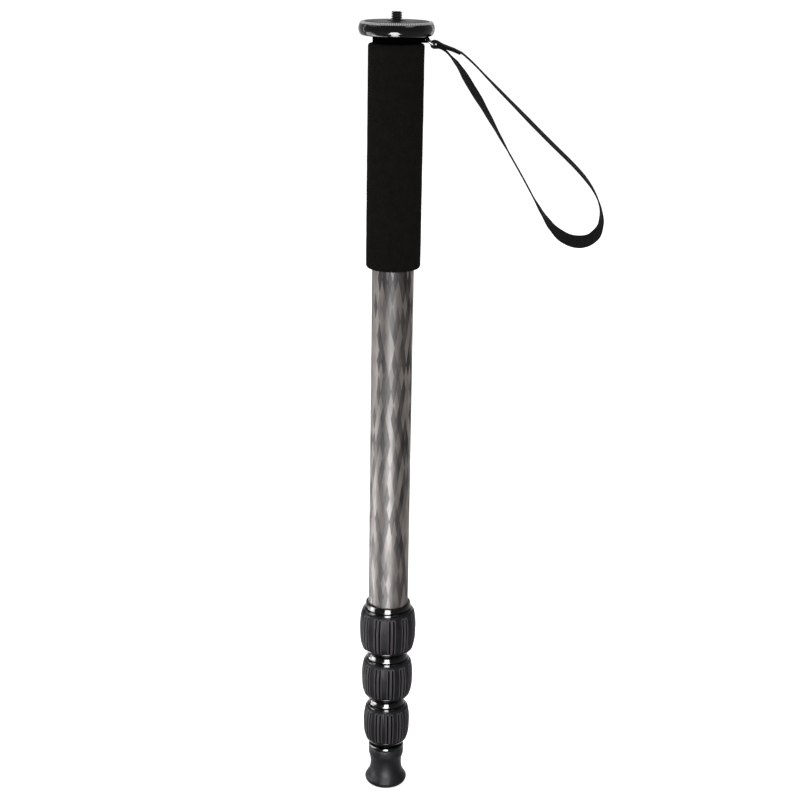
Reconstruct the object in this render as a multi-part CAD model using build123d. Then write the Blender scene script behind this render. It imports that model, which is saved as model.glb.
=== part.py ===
from build123d import *
import math
import os

# Camera monopod with four carbon tubes, all pushed in, standing on its rubber foot.
# Sizes are in millimetres. Z = 0 is the floor, and the tubes share the Z axis.

# Tubes
main_tube_diameter = 25.0
tube_wall = 1.1
tube_gap = 0.4
tube_count = 4

# Heights of the stack, from the floor up
foot_height = 28.4
stack_gap = 0.5
lock_heights = (34.7, 32.2, 31.9)
bare_tube_length = 215.1
foam_length = 131.5
neck_height = 4.3
disc_thickness = 7.9
pad_proud = 0.2
stud_height = 5.3

# Running clearances
thread_clearance = 0.05
tube_clearance = 0.05
cone_clearance = 0.1
mouth_clearance = 0.6

# Platform disc, its pad and the camera stud
disc_top_radius = 20.7
disc_rim_radius = 21.85
disc_bottom_radius = 20.3
disc_rim_height = 4.2
disc_edge_chamfer = 0.5
disc_edge_height = 0.4
pad_outer_radius = 18.5
pad_inner_radius = 5.6
pad_thickness = 1.0
stud_radius = 3.175
stud_base_radius = 4.7625
stud_base_step = 0.5
stud_depth = 15.5
stud_chamfer = 0.5
stud_slot_width = 1.2
stud_slot_depth = 1.4

# Hub that joins the platform to the main tube
neck_radius = 13.65
plug_depth = 13.5

# Foam grip
foam_radius = 16.25
foam_chamfer = 1.3

# Ear, wire loop and sewn end of the wrist strap
ear_reach = 3.55
ear_end_radius = 1.75
ear_thickness = 2.2
ear_root = 2.0
ear_hole_clearance = 0.1
wire_radius = 0.75
loop_depth = 5.0
loop_corner = 1.6
loop_angle = 30.0
strap_width = 10.0
strap_thickness = 1.2
strap_side_clearance = 0.3
fold_clearance = 0.1
seam_thickness = 2.6

# Middle line of the wrist strap in the plane Y = 0, as X and Z, from the sewn end round and back
strap_route = [
    (37.2, 470.6), (43.2, 465.9), (53.0, 456.0), (68.5, 441.2), (88.2, 422.2),
    (107.2, 405.0), (117.2, 393.0), (122.4, 380.6), (122.0, 369.6), (115.6, 362.6),
    (105.2, 362.0), (95.0, 368.0), (86.0, 380.4), (75.4, 399.2), (62.3, 420.6),
    (50.3, 439.8), (40.7, 454.0), (35.3, 463.8), (30.2, 469.6),
]
arc_share = 0.45

# Lock sleeves, bonded to the lower end of each outer tube
flange_height = 3.0
flange_top_width = 1.4
flange_base_width = 2.2
sleeve_neck_wall = 1.5
sleeve_start = 16.0

# Turning collars
collar_gap = 0.6
lip_height = 1.3
lip_top_width = 2.45
lip_base_width = 3.3
seat_width = 2.6
mouth_cone_height = 4.5
mouth_width = 2.4
cone_end = 15.5

# Clamp ring inside each collar
clamp_start = 4.2
clamp_slit = 1.5

# Ribbed rubber grip on each collar
grip_top_width = 3.65
grip_belly_width = 5.2
grip_end_width = 3.75
grip_chest_drop = 0.6
grip_hip_drop = 0.2
grip_shoulder_drop = 0.6
chest_share = 0.15
belly_share = 0.42
hip_share = 0.75
shoulder_share = 0.9
rib_pairs = 12
first_pair_angle = 9.0
groove_width = 0.8
groove_depth = 0.8
narrow_rib_width = 1.8
groove_top_margin = 1.9
groove_overrun = 1.0

# Guide bush on the upper end of each inner tube
top_space = 2.0
bush_length = 20.0
bush_step = 8.0

# Foot
ferrule_height = 2.4
ferrule_top_radius = 11.05
ferrule_radius = 11.35
ferrule_socket = 1.5
ferrule_plug_length = 15.0
foot_top_radius = 11.25
foot_waist_radius = 10.0
foot_waist_height = 14.2
foot_rim_radius = 13.4
foot_rim_height = 3.8
foot_sole_radius = 10.8
foot_flare_height = 7.5
foot_flare_radius = 11.15
foot_shoulder_height = 21.0
foot_stud_radius = 4.0
foot_stud_floor = 7.0
foot_stud_rise = 6.0

# Places worked out from the sizes above
tube_step = tube_wall + tube_gap
tube_radii = [main_tube_diameter / 2 - tube_step * i for i in range(tube_count)]
bore_radii = [radius - tube_wall for radius in tube_radii]


def stack_locks():
    """Mouth and top of each lock, with lock 1 first. The lowest lock stands on the foot."""
    places = []
    floor = foot_height
    for height in reversed(lock_heights):
        mouth = floor + stack_gap
        places.insert(0, (mouth, mouth + height))
        floor = mouth + height
    return places


lock_places = stack_locks()
foam_floor = lock_places[0][1] + bare_tube_length
foam_top = foam_floor + foam_length
disc_floor = foam_top + neck_height
disc_top = disc_floor + disc_thickness
pad_top = disc_top + pad_proud
plug_floor = foam_top - plug_depth
ear_middle = foam_top + neck_height / 2
pivot_x = neck_radius + ear_reach
loop_slope = math.radians(loop_angle)
bar_x = pivot_x + loop_depth * math.cos(loop_slope)
bar_z = ear_middle - loop_depth * math.sin(loop_slope)


def turned(edges):
    """Solid of revolution about Z from the edges of a closed outline in the XZ plane."""
    return revolve(make_face(edges), Axis.Z)


def ring(outline):
    """Solid of revolution about Z from corner points given as radius and height."""
    corners = [(radius, 0, height) for radius, height in outline]
    return turned(Polyline(*corners, close=True).edges())


def tube(outer_radius, inner_radius, low, high):
    return ring([(inner_radius, low), (outer_radius, low), (outer_radius, high), (inner_radius, high)])


def rod(radius, low, high):
    return Pos(0, 0, (low + high) / 2) * Cylinder(radius, high - low)


def platform_disc():
    rim = ThreePointArc(
        (disc_bottom_radius, 0, disc_floor),
        (disc_rim_radius, 0, disc_floor + disc_rim_height),
        (disc_top_radius, 0, disc_top - disc_edge_height),
    )
    edges = [
        Line((0, 0, disc_floor), (disc_bottom_radius, 0, disc_floor)),
        rim,
        Line(
            (disc_top_radius, 0, disc_top - disc_edge_height),
            (disc_top_radius - disc_edge_chamfer, 0, disc_top),
        ),
        Line((disc_top_radius - disc_edge_chamfer, 0, disc_top), (0, 0, disc_top)),
        Line((0, 0, disc_top), (0, 0, disc_floor)),
    ]
    disc = turned(edges)
    disc -= tube(pad_outer_radius, pad_inner_radius, pad_top - pad_thickness, pad_top)
    disc -= rod(stud_base_radius, disc_floor, disc_top)
    return disc


def platform_pad():
    return tube(pad_outer_radius, pad_inner_radius, pad_top - pad_thickness, pad_top)


def camera_screw():
    stud_top = pad_top + stud_height
    step = disc_top - stud_base_step
    stud = ring([
        (0, disc_top - stud_depth),
        (stud_base_radius, disc_top - stud_depth),
        (stud_base_radius, step),
        (stud_radius, step),
        (stud_radius, stud_top - stud_chamfer),
        (stud_radius - stud_chamfer, stud_top),
        (0, stud_top),
    ])
    slot = Box(stud_base_radius * 2, stud_slot_width, stud_slot_depth * 2)
    return stud - Pos(0, 0, stud_top) * slot


def top_hub():
    hub = ring([
        (0, plug_floor),
        (bore_radii[0], plug_floor),
        (bore_radii[0], foam_top),
        (neck_radius, foam_top),
        (neck_radius, disc_floor),
        (0, disc_floor),
    ])
    return hub - rod(stud_base_radius, disc_top - stud_depth, disc_top)


def strap_eye():
    """Ear on the neck: a plate in the plane of the strap, with a hole for the wire loop."""
    root = neck_radius - ear_root
    plate = Pos((root + pivot_x) / 2, 0, ear_middle) * Box(pivot_x - root, ear_thickness, ear_end_radius * 2)
    end = Pos(pivot_x, 0, ear_middle) * Rot(90, 0, 0) * Cylinder(ear_end_radius, ear_thickness)
    hole = Pos(pivot_x, 0, ear_middle) * Rot(90, 0, 0) * Cylinder(wire_radius + ear_hole_clearance, strap_width)
    return plate + end - hole - rod(neck_radius, foam_top, disc_floor)


def strap_link():
    """Rectangular wire loop. One bar turns in the ear, and the strap is sewn round the other."""
    bar_length = strap_width + strap_side_clearance * 2 + wire_radius * 2
    middle = Vector((pivot_x + bar_x) / 2, 0, (ear_middle + bar_z) / 2)
    out = Vector(bar_x - pivot_x, 0, bar_z - ear_middle).normalized()
    flat = Plane(origin=middle, x_dir=out, z_dir=out.cross(Vector(0, 1, 0)))
    path = (flat * RectangleRounded(loop_depth, bar_length, loop_corner)).wire()
    section = Plane(origin=path @ 0, z_dir=path % 0) * Circle(wire_radius)
    return sweep(section, path)


def strap_tab():
    """Folded end of the webbing round the outer bar, with its sewn seam over the upper strand."""
    start = Vector(strap_route[0][0], 0, strap_route[0][1])
    onward = (Vector(strap_route[1][0], 0, strap_route[1][1]) - start).normalized()
    across = Vector(-onward.Z, 0, onward.X)
    back_end = Vector(strap_route[-1][0], 0, strap_route[-1][1])
    back_on = (Vector(strap_route[-2][0], 0, strap_route[-2][1]) - back_end).normalized()
    back_across = Vector(-back_on.Z, 0, back_on.X)
    bar = Vector(bar_x, 0, bar_z)
    fold_radius = wire_radius + fold_clearance + strap_thickness
    along = (start - bar).normalized()
    up = Vector(-along.Z, 0, along.X)
    outline = [
        bar + up * fold_radius,
        start + across * (seam_thickness / 2),
        start - across * (seam_thickness / 2),
        back_end + back_across * (strap_thickness / 2),
        back_end - back_across * (strap_thickness / 2),
        bar - up * fold_radius,
    ]
    side = make_face(Polyline(*outline, close=True).edges())
    body = extrude(side, strap_width / 2, dir=(0, 1, 0), both=True)
    fold = Pos(bar_x, 0, bar_z) * Rot(90, 0, 0) * Cylinder(fold_radius, strap_width)
    hole = Pos(bar_x, 0, bar_z) * Rot(90, 0, 0) * Cylinder(wire_radius + fold_clearance, strap_width)
    return body + fold - hole


def wrist_strap():
    """Flat webbing along straight runs joined by tangent arcs, all in the plane Y = 0."""
    points = [Vector(x, 0, z) for x, z in strap_route]
    radii = []
    for before, corner, after in zip(points, points[1:], points[2:]):
        turn = math.radians((corner - before).get_angle(after - corner))
        run = min((corner - before).length, (after - corner).length)
        radii.append(arc_share * run / math.tan(turn / 2))
    path = FilletPolyline(*points, radius=radii)
    facing = Plane(origin=path @ 0, x_dir=(0, 1, 0), z_dir=path % 0)
    strap = sweep(facing * Rectangle(strap_width, strap_thickness), path)
    straight_volume = strap_width * strap_thickness * path.length
    print("strap radii", [round(radius, 1) for radius in radii])
    print("strap length", round(path.length, 1))
    print("strap volume over section times length", round(strap.volume / straight_volume, 5))
    return strap


def foam_grip():
    sleeve = tube(foam_radius, tube_radii[0], foam_floor, foam_top)
    corners = sleeve.edges().filter_by(GeomType.CIRCLE).group_by(SortBy.RADIUS)[-1]
    return chamfer(corners, foam_chamfer)


def lock_sleeve(n):
    """Glossy flange and threaded neck, bonded round the lower end of tube n."""
    mouth, top = lock_places[n]
    neck = tube_radii[n] + sleeve_neck_wall
    flange_floor = top - flange_height
    return ring([
        (tube_radii[n], mouth + sleeve_start),
        (neck, mouth + sleeve_start),
        (neck, flange_floor),
        (tube_radii[n] + flange_base_width, flange_floor),
        (tube_radii[n] + flange_top_width, top),
        (tube_radii[n], top),
    ])


def collar_bore(n):
    """Radius of the threaded bore of collar n, which also is the wide end of its clamping cone."""
    return tube_radii[n] + sleeve_neck_wall + thread_clearance


def seat_outline(n):
    """Outer corners of collar n where the rubber grip sits, from the mouth cone up."""
    mouth, top = lock_places[n]
    return [
        (tube_radii[n] + seat_width, mouth + mouth_cone_height),
        (tube_radii[n] + seat_width, top - flange_height - collar_gap - lip_height),
    ]


def lock_collar(n):
    """Collar with a bare cone at its mouth, a thin lip at its top and a clamping cone inside."""
    mouth, top = lock_places[n]
    collar_top = top - flange_height - collar_gap
    return ring([
        (tube_radii[n + 1] + mouth_clearance, mouth),
        (tube_radii[n + 1] + mouth_width, mouth),
        (tube_radii[n] + grip_end_width, mouth + mouth_cone_height),
        *seat_outline(n),
        (tube_radii[n] + lip_base_width, collar_top - lip_height),
        (tube_radii[n] + lip_top_width, collar_top),
        (collar_bore(n), collar_top),
        (collar_bore(n), mouth + cone_end),
    ])


def lock_clamp(n):
    """Split ring with a long cone, between the mouth of collar n and the inner tube."""
    mouth = lock_places[n][0]
    inner = tube_radii[n + 1] + tube_clearance
    large = collar_bore(n) - cone_clearance
    slope = (collar_bore(n) - tube_radii[n + 1] - mouth_clearance) / cone_end
    small = large - slope * (sleeve_start - clamp_start)
    body = ring([
        (inner, mouth + clamp_start),
        (small, mouth + clamp_start),
        (large, mouth + sleeve_start),
        (inner, mouth + sleeve_start),
    ])
    slit = Pos(-large, 0, mouth + sleeve_start / 2) * Box(large * 2, clamp_slit, sleeve_start * 2)
    return body - slit


def grip_outline(n):
    """Outer corners of the rubber grip of lock n, a slim barrel, from its lower end up."""
    low = seat_outline(n)[0][1]
    high = seat_outline(n)[-1][1]
    belly = tube_radii[n] + grip_belly_width
    return [
        (tube_radii[n] + grip_end_width, low),
        (belly - grip_shoulder_drop, high - (high - low) * shoulder_share),
        (belly - grip_hip_drop, high - (high - low) * hip_share),
        (belly, high - (high - low) * belly_share),
        (belly - grip_chest_drop, high - (high - low) * chest_share),
        (tube_radii[n] + grip_top_width, high),
    ]


def lock_grip(n):
    """Ribbed rubber on collar n: wide pads and narrow ribs, parted by pairs of long grooves."""
    barrel = grip_outline(n)
    blank = ring([*barrel, *reversed(seat_outline(n))])
    low = barrel[0][1] - groove_overrun
    high = barrel[-1][1] - groove_top_margin
    reach = tube_radii[n] + grip_belly_width + groove_overrun
    below, above = barrel[-2:]
    top_radius = above[0] + (below[0] - above[0]) * groove_top_margin / (above[1] - below[1])
    floor = [(radius - groove_depth, 0, height) for radius, height in barrel[:-1]]
    side = make_face(Polyline(
        (reach, 0, high),
        (reach, 0, low),
        (floor[0][0], 0, low),
        *floor,
        (top_radius - groove_depth, 0, high),
        close=True,
    ).edges())
    groove = extrude(side, groove_width / 2, dir=(0, 1, 0), both=True)
    half_angle = math.degrees((narrow_rib_width + groove_width) / 2 / (tube_radii[n] + grip_belly_width))
    grooves = []
    for pair in range(rib_pairs):
        middle = first_pair_angle + pair * 360 / rib_pairs - 90
        for turn in (middle - half_angle, middle + half_angle):
            grooves.append(Rot(0, 0, turn) * groove)
    return blank - grooves


def guide_bush(n):
    """Bush on the upper end of tube n, which runs in the bore of the tube outside it."""
    top = tube_top(n)
    return tube(bore_radii[n - 1] - tube_clearance, tube_radii[n], top - bush_length, top)


def tube_top(n):
    """Upper end of inner tube n, each a step lower than the tube outside it."""
    return plug_floor - top_space - bush_step * (n - 1)


def tube_floor(n):
    """Lower end of tube n: flush with its sleeve, or in the socket of the foot ferrule."""
    if n == tube_count - 1:
        return foot_height - ferrule_socket
    return lock_places[n][0] + sleeve_start


def carbon_tube(n):
    top = tube_top(n) if n else foam_top
    return tube(tube_radii[n], bore_radii[n], tube_floor(n), top)


def foot_ferrule():
    """Glossy ring with a socket for the last tube and a plug that goes up inside it."""
    low = foot_height - ferrule_height
    socket = foot_height - ferrule_socket
    last = tube_count - 1
    return ring([
        (foot_stud_radius, low),
        (ferrule_radius, low),
        (ferrule_radius, (low + foot_height) / 2),
        (ferrule_top_radius, foot_height),
        (tube_radii[last], foot_height),
        (tube_radii[last], socket),
        (bore_radii[last], socket),
        (bore_radii[last], socket + ferrule_plug_length),
        (foot_stud_radius, socket + ferrule_plug_length),
    ])


def foot_stud():
    return rod(foot_stud_radius, foot_stud_floor, foot_height + foot_stud_rise)


def rubber_foot():
    """Waisted foot with a flared base, a rounded rim and a flat sole."""
    top = foot_height - ferrule_height
    waist = ThreePointArc(
        (foot_top_radius, 0, foot_shoulder_height),
        (foot_waist_radius, 0, foot_waist_height),
        (foot_flare_radius, 0, foot_flare_height),
    )
    flare = TangentArc(
        (foot_flare_radius, 0, foot_flare_height),
        (foot_rim_radius, 0, foot_rim_height),
        tangent=waist % 1,
    )
    sole = ThreePointArc(
        (foot_rim_radius, 0, foot_rim_height),
        (
            foot_sole_radius + (foot_rim_radius - foot_sole_radius) * math.sqrt(0.5),
            0,
            foot_rim_height * (1 - math.sqrt(0.5)),
        ),
        (foot_sole_radius, 0, 0),
    )
    solid = turned([
        Line((0, 0, top), (foot_top_radius, 0, top)),
        Line((foot_top_radius, 0, top), (foot_top_radius, 0, foot_shoulder_height)),
        waist,
        flare,
        sole,
        Line((foot_sole_radius, 0, 0), (0, 0, 0)),
        Line((0, 0, 0), (0, 0, top)),
    ])
    return solid - rod(foot_stud_radius, foot_stud_floor, top)


pieces = {
    "platform_disc": platform_disc(),
    "platform_pad": platform_pad(),
    "camera_screw": camera_screw(),
    "top_hub": top_hub(),
    "strap_eye": strap_eye(),
    "strap_link": strap_link(),
    "strap_tab": strap_tab(),
    "wrist_strap": wrist_strap(),
    "foam_grip": foam_grip(),
    "main_tube": carbon_tube(0),
    "foot_ferrule": foot_ferrule(),
    "foot_stud": foot_stud(),
    "rubber_foot": rubber_foot(),
}
for inner in range(1, tube_count):
    pieces[f"tube_{inner + 1}"] = carbon_tube(inner)
    pieces[f"tube_{inner + 1}_bush"] = guide_bush(inner)
for lock in range(len(lock_heights)):
    pieces[f"lock_{lock + 1}_sleeve"] = lock_sleeve(lock)
    pieces[f"lock_{lock + 1}_collar"] = lock_collar(lock)
    pieces[f"lock_{lock + 1}_grip"] = lock_grip(lock)
    pieces[f"lock_{lock + 1}_clamp"] = lock_clamp(lock)

os.makedirs("parts", exist_ok=True)
for name, shape in pieces.items():
    export_step(shape, f"parts/{name}.step")
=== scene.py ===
import math

import bmesh
import bpy
from mathutils import Matrix, Vector, noise

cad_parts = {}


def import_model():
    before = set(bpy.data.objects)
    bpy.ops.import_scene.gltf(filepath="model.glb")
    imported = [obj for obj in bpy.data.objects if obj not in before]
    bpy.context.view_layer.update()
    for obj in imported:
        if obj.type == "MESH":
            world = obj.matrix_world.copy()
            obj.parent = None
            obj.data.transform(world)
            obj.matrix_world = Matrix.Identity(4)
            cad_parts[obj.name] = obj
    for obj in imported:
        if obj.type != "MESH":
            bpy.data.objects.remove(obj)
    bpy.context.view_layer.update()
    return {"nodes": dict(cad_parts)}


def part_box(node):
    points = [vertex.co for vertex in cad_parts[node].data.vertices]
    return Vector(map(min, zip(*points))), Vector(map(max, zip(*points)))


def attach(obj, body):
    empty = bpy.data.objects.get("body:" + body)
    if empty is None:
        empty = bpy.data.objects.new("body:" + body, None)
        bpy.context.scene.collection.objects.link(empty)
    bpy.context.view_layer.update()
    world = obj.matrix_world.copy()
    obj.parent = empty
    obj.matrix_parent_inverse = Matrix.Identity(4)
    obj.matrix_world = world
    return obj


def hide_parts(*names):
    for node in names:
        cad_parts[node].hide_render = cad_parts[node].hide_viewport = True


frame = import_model()

nodes = frame["nodes"]
MM = 0.001


def add_object(name, data):
    """New object in the scene."""
    item = bpy.data.objects.new(name, data)
    bpy.context.scene.collection.objects.link(item)
    return item


def levels(node):
    """Lowest and highest level of a CAD node, in millimetres."""
    low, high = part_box(node)
    return low.z / MM, high.z / MM


# Camera: where the photograph was taken from, in metres and degrees, with its lens on a 36 mm sensor

CAMERA_PLACE = (0.00543, -0.9027, 0.5452)
CAMERA_DOWN = 17.39
CAMERA_ROLL = 0.95

camera_data = bpy.data.cameras.new("photo_camera")
camera_data.sensor_width = 36.0
camera_data.lens = 69.76
camera_data.clip_start = 0.01
camera_data.clip_end = 100.0
camera = add_object("photo_camera", camera_data)
bpy.context.scene.camera = camera
camera.matrix_world = (
    Matrix.Translation(CAMERA_PLACE)
    @ Matrix.Rotation(math.radians(90 - CAMERA_DOWN), 4, "X")
    @ Matrix.Rotation(math.radians(CAMERA_ROLL), 4, "Z")
)


# Small tools for node materials

# Nearly all of a noise's values lie in this span
NOISE_SPAN = (0.3, 0.7)


class Nodes:
    """Short calls to add and join the nodes of a tree."""

    def __init__(self, tree):
        self.tree = tree

    def node(self, kind, inputs=None, **settings):
        node = self.tree.nodes.new(kind)
        for key, value in settings.items():
            setattr(node, key, value)
        for key, value in (inputs or {}).items():
            self.put(node, key, value)
        return node

    def put(self, node, key, value):
        """Sets an input to a constant, a socket or the first output of a node."""
        socket = node.inputs[key]
        if isinstance(value, bpy.types.NodeSocket):
            self.tree.links.new(value, socket)
        elif isinstance(value, bpy.types.Node):
            self.tree.links.new(value.outputs[0], socket)
        else:
            socket.default_value = value

    def math(self, operation, a, b=0.0):
        return self.node("ShaderNodeMath", {0: a, 1: b}, operation=operation)

    def plus(self, a, b):
        return self.math("ADD", a, b)

    def minus(self, a, b):
        return self.math("SUBTRACT", a, b)

    def times(self, a, b):
        return self.math("MULTIPLY", a, b)

    def ramp(self, value, span, result):
        """Takes the ends of a span to the ends of a result, and holds what lies outside."""
        return self.node("ShaderNodeMapRange", {
            "Value": value, "From Min": span[0], "From Max": span[1], "To Min": result[0], "To Max": result[1],
        }).outputs["Result"]

    def split(self, vector):
        return self.node("ShaderNodeSeparateXYZ", {0: vector}).outputs

    def join(self, x=0.0, y=0.0, z=0.0):
        return self.node("ShaderNodeCombineXYZ", {0: x, 1: y, 2: z})

    def noise(self, vector, scale, detail=2.0, roughness=0.5):
        return self.node(
            "ShaderNodeTexNoise", {"Vector": vector, "Scale": scale, "Detail": detail, "Roughness": roughness},
        ).outputs["Fac"]

    def mix(self, factor, a, b):
        """Colour between two colours."""
        node = self.node("ShaderNodeMix", data_type="RGBA")
        self.put(node, 0, factor)
        self.put(node, 6, a)
        self.put(node, 7, b)
        return node.outputs[2]

    def place(self):
        return self.node("ShaderNodeTexCoord").outputs["Object"]

    def uv(self):
        return self.node("ShaderNodeTexCoord").outputs["UV"]

    def bump(self, height, distance, strength, normal=None):
        inputs = {"Height": height, "Distance": distance, "Strength": strength}
        if normal is not None:
            inputs["Normal"] = normal
        return self.node("ShaderNodeBump", inputs).outputs["Normal"]

    def seen_directly(self, seen, lit):
        """Strength for rays from the camera, off gloss and through glass, and another for the rest."""
        path = self.node("ShaderNodeLightPath").outputs
        either = self.plus(path["Is Camera Ray"], path["Is Glossy Ray"])
        return self.ramp(self.plus(either, path["Is Transmission Ray"]), (0.0, 1.0), (lit, seen))


class Shader(Nodes):
    """A new material with one Principled shader."""

    def __init__(self, name, gloss=0.5, inputs=None):
        self.material = bpy.data.materials.new(name)
        self.material.use_nodes = True
        super().__init__(self.material.node_tree)
        self.tree.nodes.clear()
        self.surface = self.node("ShaderNodeBsdfPrincipled", {"Specular IOR Level": gloss, **(inputs or {})})
        self.node("ShaderNodeOutputMaterial", {"Surface": self.surface})

    def finish(self, colour, rough, normal=None):
        """Gives the surface its colour, roughness and normal, and returns the material."""
        self.put(self.surface, "Base Color", colour)
        self.put(self.surface, "Roughness", rough)
        if normal is not None:
            self.put(self.surface, "Normal", normal)
        return self.material


def grey(level, warm=0.0):
    return (level * (1 + warm), level, level * (1 - warm), 1.0)


# Materials: noise scales are per metre, and bump distances are in metres

def polish(name):
    """Polished black anodising: a shader with its colour, roughness and normal, not joined yet.

    It has faint smears in the gloss, and turning marks too fine to see.
    """
    s = Shader(name, gloss=0.09)
    smear = s.noise(s.place(), 90.0, detail=3.0, roughness=0.6)
    marks = s.noise(s.join(z=s.split(s.place())["Z"]), 9000.0, detail=1.0)
    colour = s.mix(smear, grey(0.0015), grey(0.003))
    rough = s.ramp(smear, (0.3, 0.75), (0.07, 0.12))
    return s, colour, rough, s.bump(marks, distance=0.00001, strength=0.25)


def gloss_black():
    s, colour, rough, normal = polish("gloss_black")
    return s.finish(colour, rough, normal)


def knurled_black():
    """The same polish, with the knurled teeth pale along their crests, from wear and dust and partly a painted
    reflection, and black between them.

    U is the height of a tooth, and V is 1 in the knurled band.
    """
    s, black, rough, normal = polish("knurled_black")
    teeth = s.split(s.uv())
    dust = s.noise(s.place(), 1400.0, detail=3.0, roughness=0.6)
    # Pale crests: wear and dust, and partly a painted reflection of the pale background
    worn_and_reflection = s.mix(dust, grey(0.40), grey(0.85))
    return s.finish(s.mix(teeth["X"], black, worn_and_reflection), s.plus(rough, s.times(teeth["Y"], 0.3)), normal)


def satin_black():
    """Bead-blasted black metal, as on the neck under the platform."""
    s = Shader("satin_black", gloss=0.0)
    grain = s.noise(s.place(), 2600.0)
    colour = s.mix(grain, grey(0.0015), grey(0.003))
    return s.finish(colour, s.ramp(grain, NOISE_SPAN, (0.32, 0.45)), s.bump(grain, distance=0.00003, strength=0.4))


def steel(name, scale, low, high, smoothest):
    """Bright or blackened steel with a fine uneven polish, between two greys."""
    s = Shader(name, inputs={"Metallic": 1.0})
    fine = s.noise(s.place(), scale, detail=3.0)
    return s.finish(s.mix(fine, grey(low), grey(high)), s.ramp(fine, NOISE_SPAN, (smoothest, 0.34)))


def moulded_rubber(name, low, high, gloss, ribbed=False):
    """Moulded rubber with a fine sparked grain and a dusty bloom, between two colours.

    Ribbed rubber has painted shade down in its grooves, where U is 1, and is dull there, and a painted highlight on
    their lips, where V is 1.
    """
    s = Shader(name, gloss=gloss)
    place = s.place()
    grain = s.noise(place, 3200.0, roughness=0.6)
    bloom = s.noise(place, 130.0, detail=4.0, roughness=0.6)
    colour = s.mix(bloom, low, high)
    if ribbed:
        ribs = s.split(s.uv())
        # Painted shade: near black down in the grooves
        colour = s.mix(ribs["X"], colour, grey(0.001))
        # Painted highlight: a pale tint along the grooves' lips
        colour = s.mix(s.times(ribs["Y"], 0.8), colour, (0.150, 0.142, 0.150, 1.0))
        rough = s.plus(s.ramp(bloom, NOISE_SPAN, (0.26, 0.36)), s.times(ribs["X"], 0.6))
    else:
        rough = s.ramp(bloom, NOISE_SPAN, (0.36, 0.48))
    return s.finish(colour, rough, s.bump(grain, distance=0.00005, strength=0.55))


def foam():
    """Closed-cell foam: small open cells and a short dusty sheen."""
    s = Shader("foam", gloss=0.0, inputs={"Sheen Weight": 0.012, "Sheen Roughness": 0.4})
    place = s.place()
    cells = s.node("ShaderNodeTexVoronoi", {"Vector": place, "Scale": 2100.0}, feature="F1").outputs["Distance"]
    patch = s.noise(place, 240.0, detail=4.0, roughness=0.65)
    blend = s.plus(s.times(patch, 0.7), s.times(cells, 0.45))
    colour = s.mix(blend, grey(0.004, warm=0.08), grey(0.015, warm=0.08))
    soft = s.bump(patch, distance=0.00025, strength=0.35)
    return s.finish(colour, 0.92, s.bump(cells, distance=0.00014, strength=0.8, normal=soft))


DIAMOND_RISE = 17.0 * MM


def carbon(name, count):
    """Braided carbon under satin resin: long diamonds, light and dark at random, and the diamonds of one fibre
    direction lighter by a painted sheen.

    The diamonds lie where two sets of bands cross, count of them each way round the tube.
    """
    s = Shader(name, gloss=0.068)
    place = s.place()
    parts = s.split(place)
    angle = s.math("ARCTAN2", parts["X"], s.times(parts["Y"], -1.0))
    turn = s.times(angle, count / (2 * math.pi))
    wander = s.times(s.minus(s.noise(place, 60.0, detail=1.0), 0.5), 0.5)
    rise = s.plus(s.math("DIVIDE", parts["Z"], DIAMOND_RISE), wander)
    a = s.plus(turn, rise)
    b = s.minus(turn, rise)
    a_band = s.math("FLOOR", a)
    b_band = s.math("FLOOR", b)
    cells = s.plus(a_band, b_band)
    over = s.math("FLOORED_MODULO", cells, 2.0)
    diamond = s.join(s.math("FLOORED_MODULO", cells, 2.0 * count), s.minus(a_band, b_band))
    pick = s.node("ShaderNodeTexWhiteNoise", {0: diamond}).outputs["Value"]
    fibres = [
        s.noise(s.join(s.times(across, 9.0), s.times(along, 0.5)), 1.0, detail=3.0)
        for across, along in ((a, b), (b, a))
    ]
    fibre = s.node("ShaderNodeMix", {0: over, 2: fibres[0], 3: fibres[1]}, data_type="FLOAT").outputs[0]
    # Painted sheen: the diamonds of one fibre direction a little lighter
    tone = s.plus(s.ramp(pick, (0.36, 0.62), (0.0, 0.62)), s.times(over, 0.18))
    tone = s.plus(tone, s.times(s.minus(fibre, 0.5), 0.6))
    colour = s.mix(tone, (0.008, 0.007, 0.007, 1.0), (0.245, 0.212, 0.196, 1.0))
    rough = s.ramp(tone, (0.0, 1.0), (0.5, 0.34))
    return s.finish(colour, rough, s.bump(fibre, distance=0.00004, strength=0.35))


PICK_LENGTH = 0.9
PICK_WIDTH = 0.75
PICK_LEAN = 0.6


def webbing():
    """Tight woven nylon: rows of small slanted picks that lean the other way in every second row.

    U runs along the webbing and V across it, both in millimetres.
    """
    s = Shader("webbing", gloss=0.01)
    parts = s.split(s.uv())
    along = s.times(parts["X"], 1.0 / PICK_LENGTH)
    across = s.times(parts["Y"], 1.0 / PICK_WIDTH)
    side = s.math("FLOORED_MODULO", s.math("FLOOR", across), 2.0)
    within = s.math("FRACT", across)
    lean = s.times(s.minus(within, 0.5), s.minus(s.times(side, 2 * PICK_LEAN), PICK_LEAN))
    pick = s.math("SINE", s.times(s.plus(along, lean), 2 * math.pi))
    rib = s.math("SINE", s.times(within, math.pi))
    weave = s.times(s.plus(s.times(pick, 0.5), 0.5), s.math("POWER", rib, 0.6))
    tone = s.plus(s.times(weave, 0.7), s.times(s.noise(s.place(), 2400.0), 0.3))
    colour = s.mix(tone, grey(0.001), grey(0.034))
    return s.finish(colour, 0.7, s.bump(weave, distance=0.00018, strength=0.8))


def nylon():
    s = Shader("nylon")
    cloud = s.noise(s.place(), 220.0)
    return s.finish(s.mix(cloud, grey(0.020), grey(0.032)), s.ramp(cloud, NOISE_SPAN, (0.32, 0.42)))


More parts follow.
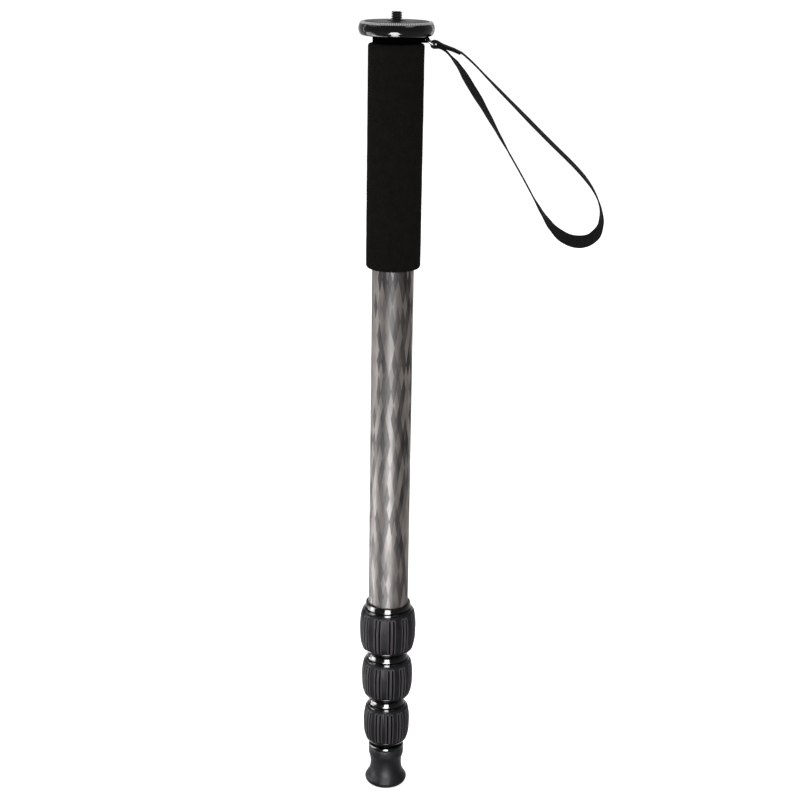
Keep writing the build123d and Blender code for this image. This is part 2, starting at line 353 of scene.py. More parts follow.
GLOSS = gloss_black()
KNURLED = knurled_black()
SATIN = satin_black()
STEEL = steel("steel", 1800.0, 0.42, 0.62, smoothest=0.18)
DARK_STEEL = steel("dark_steel", 1500.0, 0.018, 0.045, smoothest=0.2)
GRIP_RUBBER = moulded_rubber(
    "grip_rubber", (0.011, 0.0107, 0.0125, 1.0), (0.032, 0.0305, 0.0355, 1.0), gloss=0.006, ribbed=True)
FOOT_RUBBER = moulded_rubber(
    "foot_rubber", (0.004, 0.0038, 0.0048, 1.0), (0.013, 0.0122, 0.0142, 1.0), gloss=0.04)
PAD_RUBBER = moulded_rubber("pad_rubber", grey(0.005), grey(0.010), gloss=0.05)
FOAM = foam()
CARBON = [carbon(f"carbon_{n + 1}", 24 - 3 * n) for n in range(4)]
WEBBING = webbing()
NYLON = nylon()


# Small tools for meshes

def turned(angle, r, z):
    """Point at an angle about Z, from a radius and height in millimetres."""
    return (r * MM * math.cos(angle), r * MM * math.sin(angle), z * MM)


def bands(starts, count):
    """Faces between rings of count vertices, from the first vertex of each ring."""
    return [
        (a + k, b + k, b + (k + 1) % count, a + (k + 1) % count)
        for a, b in zip(starts, starts[1:])
        for k in range(count)
    ]


def add_piece(name, node, verts, faces, body, material, sharp=38, uvs=None):
    """Piece that rides on a CAD body and replaces a CAD node.

    Edges that turn by more than sharp degrees are shaded sharp. The UVs go by vertex.
    """
    mesh = bpy.data.meshes.new(name)
    mesh.from_pydata([tuple(v) for v in verts], [], faces)
    mesh.validate()
    bm = bmesh.new()
    bm.from_mesh(mesh)
    bmesh.ops.recalc_face_normals(bm, faces=bm.faces)
    bm.to_mesh(mesh)
    bm.free()
    mesh.shade_smooth()
    mesh.set_sharp_from_angle(angle=math.radians(sharp))
    mesh.materials.append(material)
    if uvs:
        layer = mesh.uv_layers.new(name="detail")
        for loop in mesh.loops:
            layer.data[loop.index].uv = uvs[loop.vertex_index]
    piece = add_object(name, mesh)
    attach(piece, body)
    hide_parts(node)
    return piece


def swung(centre, arm, turn):
    """End of an arm from a centre, swung by an angle."""
    return (
        centre[0] + arm.x * math.cos(turn) - arm.y * math.sin(turn),
        centre[1] + arm.x * math.sin(turn) + arm.y * math.cos(turn),
    )


def rounded(corners, steps=5):
    """Outline from closed corner points (radius, height, fillet), in millimetres, with round corners."""
    longest = 0.49
    outline = []
    for i, (r, z, fillet) in enumerate(corners):
        here = Vector((r, z))
        if not fillet:
            outline.append((r, z))
            continue
        before = Vector(corners[i - 1][:2]) - here
        after = Vector(corners[(i + 1) % len(corners)][:2]) - here
        half = before.angle(after) / 2
        reach = min(fillet / math.tan(half), before.length * longest, after.length * longest)
        radius = reach * math.tan(half)
        middle = (before.normalized() + after.normalized()).normalized()
        centre = here + middle * (radius / math.sin(half))
        first = here + before.normalized() * reach - centre
        last = here + after.normalized() * reach - centre
        sweep = first.angle_signed(last)
        outline += [swung(centre, first, -sweep * k / steps) for k in range(steps + 1)]
    return outline


def arc(start, through, end, steps):
    """Points on the circle through three points (radius, height), the last left out."""
    (ax, ay), (bx, by), (cx, cy) = start, through, end
    a, b, c = (x ** 2 + y ** 2 for x, y in (start, through, end))
    d = 2 * (ax * (by - cy) + bx * (cy - ay) + cx * (ay - by))
    x = (a * (by - cy) + b * (cy - ay) + c * (ay - by)) / d
    y = (a * (cx - bx) + b * (ax - cx) + c * (bx - ax)) / d
    first = Vector((ax - x, ay - y))
    whole = first.angle_signed(Vector((cx - x, cy - y)))
    part = first.angle_signed(Vector((bx - x, by - y)))
    if part * whole < 0 or abs(part) > abs(whole):
        whole -= math.copysign(2 * math.pi, whole)
    return [swung((x, y), first, -whole * k / steps) for k in range(steps)]


def densify(outline, step):
    """The closed outline with its long runs divided, so that no run is longer than step."""
    result = []
    for (r, z), (r2, z2) in zip(outline, outline[1:] + outline[:1]):
        parts = max(1, math.ceil(math.hypot(r2 - r, z2 - z) / step))
        for k in range(parts):
            result.append((r + (r2 - r) * k / parts, z + (z2 - z) * k / parts))
    return result


def lathe(name, node, outline, body, material, turns=160, shape=None, sharp=38, detail=None):
    """Closed ring turned about Z from a closed outline in millimetres.

    shape(angle, r, z) may move a point, and detail(angle, r, z) gives its UV from where it was.
    """
    verts = []
    uvs = []
    for i in range(turns):
        angle = 2 * math.pi * i / turns
        for r, z in outline:
            if detail:
                uvs.append(detail(angle, r, z))
            if shape:
                r, z = shape(angle, r, z)
            verts.append(turned(angle, r, z))
    rows = len(outline)
    faces = bands([i * rows for i in range(turns)] + [0], rows)
    return add_piece(name, node, verts, faces, body, material, sharp, uvs)


# Wrist strap: the route's points from the part's source, in metres

ROUTE = [
    (0.0372, 0.4706), (0.0432, 0.4659), (0.0530, 0.4560), (0.0685, 0.4412), (0.0882, 0.4222),
    (0.1072, 0.4050), (0.1172, 0.3930), (0.1224, 0.3806), (0.1220, 0.3696), (0.1156, 0.3626),
    (0.1052, 0.3620), (0.0950, 0.3680), (0.0860, 0.3804), (0.0754, 0.3992), (0.0623, 0.4206),
    (0.0508, 0.4402), (0.0414, 0.4544), (0.0356, 0.4640), (0.0302, 0.4696),
]
STRAP_WIDTH = 10.0 * MM
STRAP_THICKNESS = 0.95 * MM
RIBBON_STEP = 1.1 * MM
# Twist of the webbing, as shares of the length and degrees: its near edge turns outward where positive
TWIST = [
    (0.0, 0), (0.05, 0), (0.12, -5), (0.2, -9), (0.35, -9), (0.4, -4), (0.43, 0), (0.46, 10),
    (0.49, 26), (0.525, 37), (0.56, 33), (0.595, 21), (0.63, 8), (0.665, 0), (0.76, 0), (0.81, -8),
    (0.86, -18), (0.9, -26), (0.94, -25), (0.975, -14), (1.0, -3),
]
UNTWISTED = [(0.0, 0), (1.0, 0)]
EVEN = [(0.0, 1.0), (1.0, 1.0)]


def spline_points(name, points):
    """Points along a smooth curve through the plane Y = 0, read from a NURBS spline with no bevel."""
    data = bpy.data.curves.new(name, "CURVE")
    data.dimensions = "3D"
    data.resolution_u = 24
    spline = data.splines.new("NURBS")
    spline.points.add(len(points) - 1)
    for point, (x, z) in zip(spline.points, points):
        point.co = (x, 0.0, z, 1.0)
    spline.order_u = 3
    spline.use_endpoint_u = True
    curve = add_object(name, data)
    bpy.context.view_layer.update()
    mesh = bpy.data.meshes.new_from_object(curve)
    line = [v.co.copy() for v in mesh.vertices]
    bpy.data.meshes.remove(mesh)
    bpy.data.objects.remove(curve)
    return line


def evenly(line, step):
    """The line at even steps along its length, and its length."""
    lengths = [0.0]
    for a, b in zip(line, line[1:]):
        lengths.append(lengths[-1] + (b - a).length)
    count = max(2, round(lengths[-1] / step))
    result = []
    k = 0
    for i in range(count + 1):
        target = lengths[-1] * i / count
        while k < len(line) - 2 and lengths[k + 1] < target:
            k += 1
        span = max(lengths[k + 1] - lengths[k], 1e-12)
        result.append(line[k].lerp(line[k + 1], min(1.0, (target - lengths[k]) / span)))
    return result, lengths[-1]


def from_table(table, share):
    """Smooth value between the rows of a table of shares and values."""
    for (a, low), (b, high) in zip(table, table[1:]):
        if share <= b:
            t = (share - a) / (b - a)
            return low + (high - low) * t * t * (3 - 2 * t)
    return table[-1][1]


def ribbon_section(width, thickness):
    """Closed flat section, thinner at its two edges: across the webbing, and up from its middle."""
    steps = 12
    edge_loss = 0.75
    edge_power = 14
    top = []
    for k in range(steps + 1):
        t = -1 + 2 * k / steps
        top.append((t * width / 2, thickness / 2 * (1 - edge_loss * abs(t) ** edge_power)))
    return top + [(across, -up) for across, up in reversed(top)]


def ribbon(line, width, thickness, twist=UNTWISTED, swell=EVEN):
    """Flat webbing along a line in the plane Y = 0: vertices, faces, UVs in millimetres, and length.

    twist gives the turn of the webbing in degrees, and swell how many times as thick it is.
    """
    section = ribbon_section(width, thickness)
    line, length = evenly(line, RIBBON_STEP)
    last = len(line) - 1
    verts = []
    uvs = []
    for i, point in enumerate(line):
        ahead = line[min(i + 1, last)] - line[max(i - 1, 0)]
        ahead.normalize()
        out = Vector((-ahead.z, 0, ahead.x))
        share = i / last
        turn = math.radians(from_table(twist, share))
        side = Vector((0, -1, 0)) * math.cos(turn) + out * math.sin(turn)
        face = ahead.cross(side).normalized()
        times = from_table(swell, share)
        for across, up in section:
            verts.append(point + side * across + face * up * times)
            uvs.append((share * length / MM, across / MM))
    rows = len(section)
    faces = bands([i * rows for i in range(last + 1)], rows)
    faces.append(tuple(range(rows)))
    faces.append(tuple(last * rows + k for k in reversed(range(rows))))
    return verts, faces, uvs, length


# Sewn end of the strap: the wire that it is folded round, and its route there and back, in metres
TAB_BAR = Vector((0.02153, 0, 0.47495))
TAB_FOLD_RADIUS = 1.65 * MM
TAB_FOLD_DEGREES = (75, 110, 145, 180, 215, 250)
TAB_THERE = [
    (0.0378, 0.4701), (0.0342, 0.4719), (0.0314, 0.4730), (0.0287, 0.4739), (0.0259, 0.4750), (0.0235, 0.4762),
]
TAB_BACK = [(0.0238, 0.4735), (0.0262, 0.4726), (0.0284, 0.4713), (0.0302, 0.4696), (0.0322, 0.4671)]
TAB_MIDDLE = [
    (0.0230, 0.4748), (0.0259, 0.4738), (0.0287, 0.4728), (0.0314, 0.4720), (0.0342, 0.4710), (0.0364, 0.4700),
]
TAB_FOLD_THICKNESS = 1.05 * MM
TAB_MIDDLE_THICKNESS = 1.2 * MM
TAB_FOLD_SWELL = [(0.0, 1.0), (0.36, 1.0), (0.46, 1.6), (0.64, 1.6), (0.73, 1.0), (1.0, 1.0)]


def tab_piece():
    """Webbing folded round the wire, and its two runs closed over a middle layer."""
    fold = [
        (TAB_BAR.x + TAB_FOLD_RADIUS * math.cos(math.radians(turn)),
         TAB_BAR.z + TAB_FOLD_RADIUS * math.sin(math.radians(turn)))
        for turn in TAB_FOLD_DEGREES
    ]
    fold_line = spline_points("tab_fold_route", TAB_THERE + fold + TAB_BACK)
    middle_line = spline_points("tab_middle_route", TAB_MIDDLE)
    verts, faces, uvs = [], [], []
    for part_verts, part_faces, part_uvs, _ in (
        ribbon(fold_line, STRAP_WIDTH * 0.99, TAB_FOLD_THICKNESS, swell=TAB_FOLD_SWELL),
        ribbon(middle_line, STRAP_WIDTH * 0.96, TAB_MIDDLE_THICKNESS),
    ):
        start = len(verts)
        verts += part_verts
        uvs += part_uvs
        faces += [tuple(start + k for k in face) for face in part_faces]
    add_piece("strap_tab_webbing", "strap_tab", verts, faces, "strap", WEBBING, 50, uvs)


strap_line = spline_points("strap_route", ROUTE)
strap_verts, strap_faces, strap_uvs, strap_length = ribbon(strap_line, STRAP_WIDTH, STRAP_THICKNESS, TWIST)
strap = add_piece(
    "wrist_strap_webbing", "wrist_strap", strap_verts, strap_faces, "strap", WEBBING, 50, strap_uvs)
tab_piece()


# Platform disc, in millimetres

DISC_LOW, DISC_TOP = levels("platform_disc")
DISC_BORE = 4.77
BOSS_RADIUS = 5.6
PAD_SEAT_RADIUS = 18.5
PAD_SEAT_DEPTH = 0.8
KNURL_TEETH = 122
KNURL_BAND = 1.05
KNURL_INNER_RADIUS = 20.0
KNURL_DEPTH = 0.5
KNURL_RUN_IN = 0.3
KNURL_STEPS = 8
# A tooth's height is its distance from the groove times this gain, at most 1, to this power
KNURL_GAIN = 1.5
KNURL_POWER = 1.6


def disc_outline():
    """Section of the disc, from its bore out under the rim, over its top corner and back over the pad's seat."""
    edge = (20.85, DISC_LOW + 0.62)
    shoulder = (21.15, DISC_TOP - 1.25)
    under = arc((19.6, DISC_LOW), (20.25, DISC_LOW + 0.16), edge, 8)
    rim = arc(edge, (21.82, DISC_LOW + 4.0), shoulder, 24)
    corner = [
        (r, DISC_TOP - drop)
        for r, drop in ((21.05, 1.0), (20.97, 0.8), (20.85, 0.5), (20.7, 0.25), (20.45, 0.08), (20.1, 0.0))
    ]
    seat = DISC_TOP - PAD_SEAT_DEPTH
    return [
        (DISC_BORE, DISC_LOW), *under, *rim, shoulder, *corner,
        (PAD_SEAT_RADIUS + 0.12, DISC_TOP), (PAD_SEAT_RADIUS, DISC_TOP - 0.12), (PAD_SEAT_RADIUS, seat),
        (BOSS_RADIUS, seat), (BOSS_RADIUS, DISC_TOP), (DISC_BORE, DISC_TOP),
    ]


def tooth(angle, r, z):
    """Height of a knurled tooth, 0 to 1, and whether the place is in the knurled band."""
    if z < DISC_TOP - KNURL_BAND or r < KNURL_INNER_RADIUS:
        return 0.0, 0.0
    share = angle * KNURL_TEETH / (2 * math.pi) % 1.0
    return min(1.0, KNURL_GAIN * (1 - abs(2 * share - 1))) ** KNURL_POWER, 1.0


def knurl(angle, r, z):
    height, band = tooth(angle, r, z)
    if band:
        r -= KNURL_DEPTH * min(1.0, (z - DISC_TOP + KNURL_BAND) / KNURL_RUN_IN) * (1 - height)
    return r, z


lathe("platform_disc_knurled", "platform_disc", disc_outline(), "upper", KNURLED,
      turns=KNURL_TEETH * KNURL_STEPS, shape=knurl, sharp=30, detail=tooth)


# Camera stud, in millimetres

SCREW_LOW, SCREW_TOP = levels("camera_screw")
SCREW_HEAD_RADIUS = 4.7625
SCREW_RADIUS = 3.175
THREAD_PITCH = 1.27
THREAD_DEPTH = 0.76
THREAD_SINK = 0.5
# Shares of half a pitch: the flat floor between two crests, and the flank
THREAD_FLOOR_SHARE = 0.12
THREAD_FLANK_SHARE = 0.46
TIP_LENGTH = 0.7
TIP_LOSS = 0.35
STUD_TURNS = 72
STUD_ROWS = 90


def stud_piece():
    """Threaded stud on its plain head, with the thread's tip worn down."""
    low = DISC_TOP - THREAD_SINK
    rings = [(SCREW_LOW, [SCREW_HEAD_RADIUS] * STUD_TURNS), (low, [SCREW_HEAD_RADIUS] * STUD_TURNS)]
    for k in range(STUD_ROWS + 1):
        z = low + (SCREW_TOP - low) * k / STUD_ROWS
        tip = 1 - min(1.0, max(0.0, (SCREW_TOP - z) / TIP_LENGTH))
        ring = []
        for i in range(STUD_TURNS):
            phase = ((z - low) / THREAD_PITCH - i / STUD_TURNS) % 1.0
            crest = min(1.0, max(0.0, (abs(2 * phase - 1) - THREAD_FLOOR_SHARE) / THREAD_FLANK_SHARE))
            ring.append(SCREW_RADIUS - THREAD_DEPTH * (1 - crest) - TIP_LOSS * tip)
        rings.append((z, ring))
    verts = [(0, 0, SCREW_LOW * MM)]
    for z, ring in rings:
        verts += [turned(2 * math.pi * i / STUD_TURNS, r, z) for i, r in enumerate(ring)]
    verts.append((0, 0, SCREW_TOP * MM))
    starts = [1 + k * STUD_TURNS for k in range(len(rings))]
    faces = bands(starts, STUD_TURNS)
    for i in range(STUD_TURNS):
        j = (i + 1) % STUD_TURNS
        faces.append((0, 1 + j, 1 + i))
        faces.append((starts[-1] + i, starts[-1] + j, len(verts) - 1))
    add_piece("camera_stud_threaded", "camera_screw", verts, faces, "upper", DARK_STEEL, sharp=35)


stud_piece()


# Tubes' outer radii, and the foam grip, in millimetres. Its lower end lies a little above the CAD sleeve's

TUBE_RADII = [12.5 - 1.5 * n for n in range(4)]
FOAM_TRIM = 1.3
FOAM_LOW = levels("foam_grip")[0] + FOAM_TRIM
FOAM_HIGH = levels("foam_grip")[1]
FOAM_RADIUS = 16.25
# Unevenness of its outside: cycles per millimetre and height of each swell, and how far the whole is set in
FOAM_SWELLS = [(0.09, 0.10), (0.45, 0.045)]
FOAM_SET_IN = 0.05
FOAM_NOISE_RADIUS = 16


def foam_shape(angle, r, z):
    """Makes the sleeve's outside softly uneven, in broad swells and smaller ones."""
    if r > TUBE_RADII[0] + 0.5:
        spot = Vector((math.cos(angle) * FOAM_NOISE_RADIUS, math.sin(angle) * FOAM_NOISE_RADIUS, z))
        r += sum(noise.noise(spot * cycles) * height for cycles, height in FOAM_SWELLS) - FOAM_SET_IN
    return r, z


foam_outline = densify(rounded([
    (TUBE_RADII[0], FOAM_LOW, 0.3), (FOAM_RADIUS, FOAM_LOW, 2.0),
    (FOAM_RADIUS, FOAM_HIGH, 1.6), (TUBE_RADII[0], FOAM_HIGH, 0.3),
], steps=8), step=1.6)
foam_piece = lathe("foam_grip_sleeve", "foam_grip", foam_outline, "upper", FOAM,
                   turns=120, shape=foam_shape, sharp=60)


# Twist locks: sleeve, collar and ribbed rubber grip. Widths are over the radius of the tube that carries the lock

SLEEVE_WALL = 1.5
FLANGE_HEIGHT = 3.0
FLANGE_WIDTH = 2.2
FLANGE_TOP_WIDTH = 1.42
COLLAR_BORE = 1.55
COLLAR_CONE_HEIGHT = 15.5
COLLAR_SEAT = 2.6
COLLAR_LIP_HEIGHT = 1.3
COLLAR_LIP_WIDTH = 3.3
COLLAR_LIP_TOP_WIDTH = 2.45
COLLAR_FOOT_WIDTH = 3.72
COLLAR_FOOT_TOP_WIDTH = 3.78
COLLAR_FOOT_HEIGHT = 0.75
# Widths of the collar's mouth over the radius of the next tube
MOUTH_GAP = 0.6
MOUTH_WIDTH = 2.4


def lock_pieces(n):
    number = n + 1
    outer = TUBE_RADII[n]
    inner = TUBE_RADII[n + 1]
    low, top = levels(f"lock_{number}_sleeve")
    flange = top - FLANGE_HEIGHT
    lathe(f"lock_{number}_sleeve_ring", f"lock_{number}_sleeve", rounded([
        (outer, low, 0), (outer + SLEEVE_WALL, low, 0.2), (outer + SLEEVE_WALL, flange, 0),
        (outer + FLANGE_WIDTH, flange, 0.25), (outer + FLANGE_TOP_WIDTH, top, 0.35), (outer, top, 0),
    ]), ("upper", "section_2", "section_3")[n], GLOSS)
    mouth, collar_top = levels(f"lock_{number}_collar")
    grip_low, grip_top = levels(f"lock_{number}_grip")
    lip = collar_top - COLLAR_LIP_HEIGHT
    lathe(f"lock_{number}_collar_ring", f"lock_{number}_collar", rounded([
        (inner + MOUTH_GAP, mouth, 0.15), (inner + MOUTH_WIDTH, mouth, 0.3),
        (outer + COLLAR_FOOT_WIDTH, grip_low - COLLAR_FOOT_HEIGHT, 0.2),
        (outer + COLLAR_FOOT_TOP_WIDTH, grip_low, 0.2),
        (outer + COLLAR_SEAT, grip_low, 0), (outer + COLLAR_SEAT, lip, 0),
        (outer + COLLAR_LIP_WIDTH, lip, 0.2), (outer + COLLAR_LIP_TOP_WIDTH, collar_top, 0.2),
        (outer + COLLAR_BORE, collar_top, 0.1), (outer + COLLAR_BORE, mouth + COLLAR_CONE_HEIGHT, 0),
    ]), f"collar_{number}", GLOSS)
    grip_piece(n, grip_low, grip_top)


# Barrel of each grip: shares of its height from the top, and widths over the outer tube's radius
BARREL = [
    (0.0, 3.65), (0.07, 4.2), (0.15, 4.6), (0.28, 5.0), (0.42, 5.2), (0.58, 5.14), (0.75, 5.0),
    (0.85, 4.75), (0.92, 4.4), (0.97, 4.0), (1.0, 3.72),
]
# Ribs of each grip, in millimetres and degrees: pairs of grooves with round upper ends
GRIP_BORE = 2.62
GRIP_PAIRS = 12
GRIP_PAIR_DEGREES = -81.0
GRIP_TURNS = GRIP_PAIRS * 64
GRIP_ROWS = 60
GRIP_ROW_CROWDING = 0.02
GRIP_EDGE = 0.3
GROOVE_RADIUS_OVER = 5.2
GROOVE_FROM_PAIR = 1.3
GROOVE_HALF_WIDTH = 0.42
GROOVE_WALL = 0.16
GROOVE_END = 1.9
GROOVE_DEPTH = 0.9
GROOVE_FLOOR = 2.85
LIP_WIDTH = 0.7
LIP_HEIGHT = 0.10
PAD_MARGIN = 0.3
PAD_SLOPE = 1.6
PAD_SINK = 0.18


def clamp(value):
    return min(1.0, max(0.0, value))


def barrel(share):
    """Width of the rubber barrel over its tube at a share of its height from the top, by smooth steps."""
    for i in range(len(BARREL) - 1):
        a, low = BARREL[i]
        b, high = BARREL[i + 1]
        if share <= b:
            t = (share - a) / (b - a)
            before = BARREL[max(i - 1, 0)]
            after = BARREL[min(i + 2, len(BARREL) - 1)]
            slope_low = (high - before[1]) / (b - before[0]) * (b - a)
            slope_high = (after[1] - low) / (after[0] - a) * (b - a)
            return (
                (2 * t ** 3 - 3 * t ** 2 + 1) * low + (t ** 3 - 2 * t ** 2 + t) * slope_low
                + (3 * t ** 2 - 2 * t ** 3) * high + (t ** 3 - t ** 2) * slope_high
            )
    return BARREL[-1][1]


def grip_surface(angle, outer, z, low, high):
    """Radius of the ribbed rubber, how deep it is in a groove, and how high on a groove's lip."""
    whole = outer + barrel(clamp((high - z) / (high - low)))
    edge = min(z - low, high - z)
    if edge < GRIP_EDGE:
        whole -= GRIP_EDGE - math.sqrt(max(0.0, GRIP_EDGE ** 2 - (GRIP_EDGE - edge) ** 2))
    depth = min(GROOVE_DEPTH, whole - outer - GROOVE_FLOOR)
    pitch = 360.0 / GRIP_PAIRS
    from_pair = (math.degrees(angle) - GRIP_PAIR_DEGREES + pitch / 2) % pitch - pitch / 2
    offset = math.radians(from_pair) * (outer + GROOVE_RADIUS_OVER)
    past_end = max(0.0, z - (high - GROOVE_END - GROOVE_HALF_WIDTH))
    side = math.hypot(abs(abs(offset) - GROOVE_FROM_PAIR), past_end)
    cut = 0.5 * (1 + math.cos(math.pi * clamp((side - GROOVE_HALF_WIDTH + GROOVE_WALL) / (2 * GROOVE_WALL))))
    lip = (side - GROOVE_HALF_WIDTH - GROOVE_WALL) / LIP_WIDTH
    raised = math.sin(math.pi * lip) if 0 < lip < 1 else 0.0
    pad = min(1.0, max(0.0, side - GROOVE_HALF_WIDTH - GROOVE_WALL - PAD_MARGIN) / PAD_SLOPE)
    return whole - cut * depth + raised * LIP_HEIGHT - pad * PAD_SINK, cut, raised


def grip_piece(n, low, high):
    """Ribbed rubber: hollow pads and narrow ribs between pairs of round-ended grooves."""
    outer = TUBE_RADII[n]
    angles = [2 * math.pi * i / GRIP_TURNS for i in range(GRIP_TURNS)]
    verts = []
    # The UVs carry each point's groove and lip shares, for the rubber's painted shade in the grooves and painted
    # highlight on the lips
    ribs = []
    for k in range(GRIP_ROWS + 1):
        share = k / GRIP_ROWS - GRIP_ROW_CROWDING * math.sin(2 * math.pi * k / GRIP_ROWS)
        z = low + (high - low) * share
        for angle in angles:
            r, cut, raised = grip_surface(angle, outer, z, low, high)
            verts.append(turned(angle, r, z))
            ribs.append((cut, raised))
    for z in (high, low):
        for angle in angles:
            verts.append(turned(angle, outer + GRIP_BORE, z))
            ribs.append((0.0, 0.0))
    faces = bands([k * GRIP_TURNS for k in range(GRIP_ROWS + 3)] + [0], GRIP_TURNS)
    add_piece(f"lock_{n + 1}_grip_ribbed", f"lock_{n + 1}_grip", verts, faces, f"collar_{n + 1}",
              GRIP_RUBBER, 60, ribs)


for lock in range(3):
    lock_pieces(lock)


# Foot, in millimetres: the ferrule over the rubber, and the hole in it for the foot's stud

FOOT_TOP = levels("rubber_foot")[1]
FOOT_STUD_RADIUS = 4.0
FOOT_STUD_LOW = 7.0
FERRULE_RADIUS = 11.35
FERRULE_HEIGHT = 2.4
SPIGOT_RADIUS = 6.9
SPIGOT_LOW = FOOT_TOP + 0.9
SPIGOT_TOP = SPIGOT_LOW + 15.0


def foot_pieces():
    ferrule_top = FOOT_TOP + FERRULE_HEIGHT
    lathe("foot_ferrule_ring", "foot_ferrule", rounded([
        (FOOT_STUD_RADIUS, FOOT_TOP, 0), (FERRULE_RADIUS, FOOT_TOP, 0.3), (FERRULE_RADIUS, FOOT_TOP + 1.2, 0.5),
        (FERRULE_RADIUS - 0.3, ferrule_top, 0.45), (TUBE_RADII[3], ferrule_top, 0), (TUBE_RADII[3], SPIGOT_LOW, 0),
        (SPIGOT_RADIUS, SPIGOT_LOW, 0), (SPIGOT_RADIUS, SPIGOT_TOP, 0.2), (FOOT_STUD_RADIUS, SPIGOT_TOP, 0),
    ]), "section_4", GLOSS)
    neck = (11.25, 21.0)
    hip = (11.15, 7.5)
    brim = (13.4, 3.8)
    sole = (10.8, 0.0)
    outline = [
        (FOOT_STUD_RADIUS, FOOT_TOP), (10.95, FOOT_TOP), (11.15, FOOT_TOP - 0.06), (11.25, FOOT_TOP - 0.3),
        (11.27, 22.2), (11.27, 21.6),
        *arc(neck, (10.0, 14.2), hip, 18), *arc(hip, (12.45, 5.55), brim, 8), *arc(brim, (12.64, 1.12), sole, 12),
        sole, (0.02, 0.0), (0.02, FOOT_STUD_LOW), (FOOT_STUD_RADIUS, FOOT_STUD_LOW),
    ]
    lathe("rubber_foot_flared", "rubber_foot", densify(outline, step=2.5), "section_4", FOOT_RUBBER,
          turns=144, sharp=50)


foot_pieces()


# CAD nodes that stay, with their materials

def dress(node, material):
    materials = nodes[node].data.materials
    materials.clear()
    materials.append(material)


dress("platform_pad", PAD_RUBBER)
dress("top_hub", SATIN)
dress("strap_eye", SATIN)
dress("strap_link", DARK_STEEL)
dress("foot_stud", STEEL)
dress("main_tube", CARBON[0])
for n in (2, 3, 4):
    dress(f"tube_{n}", CARBON[n - 1])
    dress(f"tube_{n}_bush", NYLON)
    dress(f"lock_{n - 1}_clamp", NYLON)


# Floor and background

FLOOR_HALF_SIZE = 40.0
FLOOR_GREY = 0.8


def floor():
    far = FLOOR_HALF_SIZE
    mesh = bpy.data.meshes.new("floor")
    mesh.from_pydata([(-far, -far, 0), (far, -far, 0), (far, far, 0), (-far, far, 0)], [], [(0, 1, 2, 3)])
    plane = add_object("floor", mesh)
    material = bpy.data.materials.new("floor")
    material.use_nodes = True
    n = Nodes(material.node_tree)
    n.tree.nodes.clear()
    diffuse = n.node("ShaderNodeBsdfDiffuse", {"Color": grey(FLOOR_GREY)})
    glow = n.node("ShaderNodeEmission", {"Strength": n.seen_directly(0.8, 0.0)})
    n.node("ShaderNodeOutputMaterial", {"Surface": n.node("ShaderNodeAddShader", {0: diffuse, 1: glow})})
    mesh.materials.append(material)
    # The foot stands on the floor, so the floor goes down with the section that carries the foot
    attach(plane, "section_4")


def world():
    background = bpy.data.worlds.new("studio")
    bpy.context.scene.world = background
    background.use_nodes = True
    n = Nodes(background.node_tree)
    shade = n.tree.nodes["Background"]
    n.put(shade, "Color", (1, 1, 1, 1))
    n.put(shade, "Strength", n.seen_directly(1.0, 0.4))


floor()
world()


# Lamps: metres, and degrees of azimuth from the front, -Y, towards +X. Radiance is in watts per square metre and
# steradian

def toward(azimuth, distance, height):
    """Place at an azimuth, distance and height, and the level direction across it."""
    turn = math.radians(azimuth)
    place = Vector((distance * math.sin(turn), -distance * math.cos(turn), height))
    return place, (math.cos(turn), math.sin(turn), 0)


def area_light(name, centre, across, out, width, height, radiance, diffuse, gloss, spread=180.0):
    """Rectangular lamp that faces out, with its width along across. Its radiance is that at full spread."""
    data = bpy.data.lights.new(name, "AREA")
    data.shape = "RECTANGLE"
    data.size = width
    data.size_y = height
    data.spread = math.radians(spread)
    data.energy = radiance * width * height * math.pi
    lamp = add_object(name, data)
    back = -Vector(out).normalized()
    side = Vector(across).normalized()
    lamp.matrix_world = Matrix.Translation(centre) @ Matrix((side, back.cross(side), back)).transposed().to_4x4()
    lamp.visible_camera = False
    lamp.visible_diffuse = diffuse
    lamp.visible_glossy = gloss


def softbox(name, azimuth, distance, height, aim, size, radiance, gloss):
    """Square soft box aimed at a height of the object."""
    place, across = toward(azimuth, distance, height)
    area_light(name, place, across, Vector((0, 0, aim)) - place, size, size, radiance, True, gloss)


def strip(name, azimuth, half_angle, distance, low, high, radiance, aim=None, spread=180.0):
    """Strip seen in gloss alone, between two heights: upright, or turned to a height of the object."""
    place, across = toward(azimuth, distance, (low + high) / 2)
    width = 2 * distance * math.tan(math.radians(half_angle))
    out = Vector((0, 0, place.z if aim is None else aim)) - place
    area_light(name, place, across, out, width, high - low, radiance, False, True, spread)


def floor_card(name, azimuth, half_angle, near, far, radiance):
    """Card that lies on the floor, seen in gloss alone, between two distances from the object."""
    middle = (near + far) / 2
    place, across = toward(azimuth, middle, CARD_HEIGHT)
    width = 2 * middle * math.tan(math.radians(half_angle))
    area_light(name, place, across, (0, 0, 1), width, far - near, radiance, False, True)


CARD_HEIGHT = 0.003
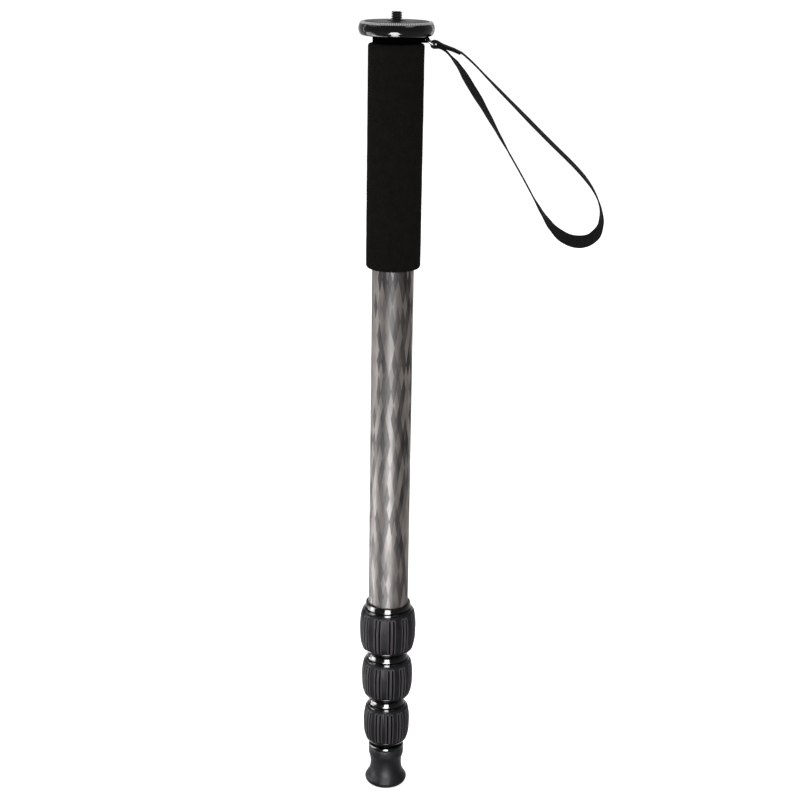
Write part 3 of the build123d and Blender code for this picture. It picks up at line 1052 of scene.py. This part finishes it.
# Soft boxes: name, azimuth, distance, height, height aimed at, size, radiance, and whether gloss shows it
SOFT_BOXES = [
    ("left_box", -88, 1.5, 1.7, 0.3, 1.0, 4.5, True),
    ("right_box", 43, 1.5, 1.75, 0.3, 0.8, 3.5, True),
    ("front_box", -20, 1.8, 1.2, 0.25, 1.2, 1.1, False),
    ("back_box", 155, 1.7, 1.4, 0.25, 1.1, 3.0, False),
]
# Strips near the object, for the bright spots on its rings: side, azimuth, half angle and radiance, and for each
# strip of a side its name, distance, low, high, height aimed at and spread
STRIP_SIDES = [("front", -1, 13, 16.0), ("left", -82, 15, 6.0)]
NEAR_STRIPS = [("low_strip", 0.5, 0.0, 0.22, None, 44.0), ("lip_strip", 0.25, 0.22, 0.36, 0.1, 64.0)]
# Cards on the floor for the spots under its rims: side, azimuth, half angle, and each card's radiance
FLOOR_CARDS = [("front", -6, 13, (40.0, 86.0, 120.0)), ("left", -98, 15, (38.0, 33.0, 14.0))]
CARD_SPANS = [(0.12, 0.25), (0.25, 0.55), (0.55, 1.3)]
# Far strips for the lines down its sides and over its rims: name, azimuth, half angle, distance, low, high, radiance
FAR_STRIPS = [
    ("left_upper_card", -77, 20, 1.5, 1.6, 2.4, 14.0),
    ("right_upper_card", 50, 17, 1.5, 1.6, 2.4, 14.0),
    ("left_edge_strip", -116, 0.8, 1.5, 0.0, 1.2, 16.0),
    ("right_edge_strip", 142, 0.8, 1.5, 0.0, 1.2, 14.0),
]

for box in SOFT_BOXES:
    softbox(*box)
for side, azimuth, half_angle, glare in STRIP_SIDES:
    for name, distance, low, high, aim, spread in NEAR_STRIPS:
        strip(f"{side}_{name}", azimuth, half_angle, distance, low, high, glare, aim, spread)
for side, azimuth, half_angle, glares in FLOOR_CARDS:
    for k, (near, far) in enumerate(CARD_SPANS):
        floor_card(f"{side}_card_{k + 1}", azimuth, half_angle, near, far, glares[k])
for card in FAR_STRIPS:
    strip(*card)

bpy.context.scene.view_settings.view_transform = "Standard"
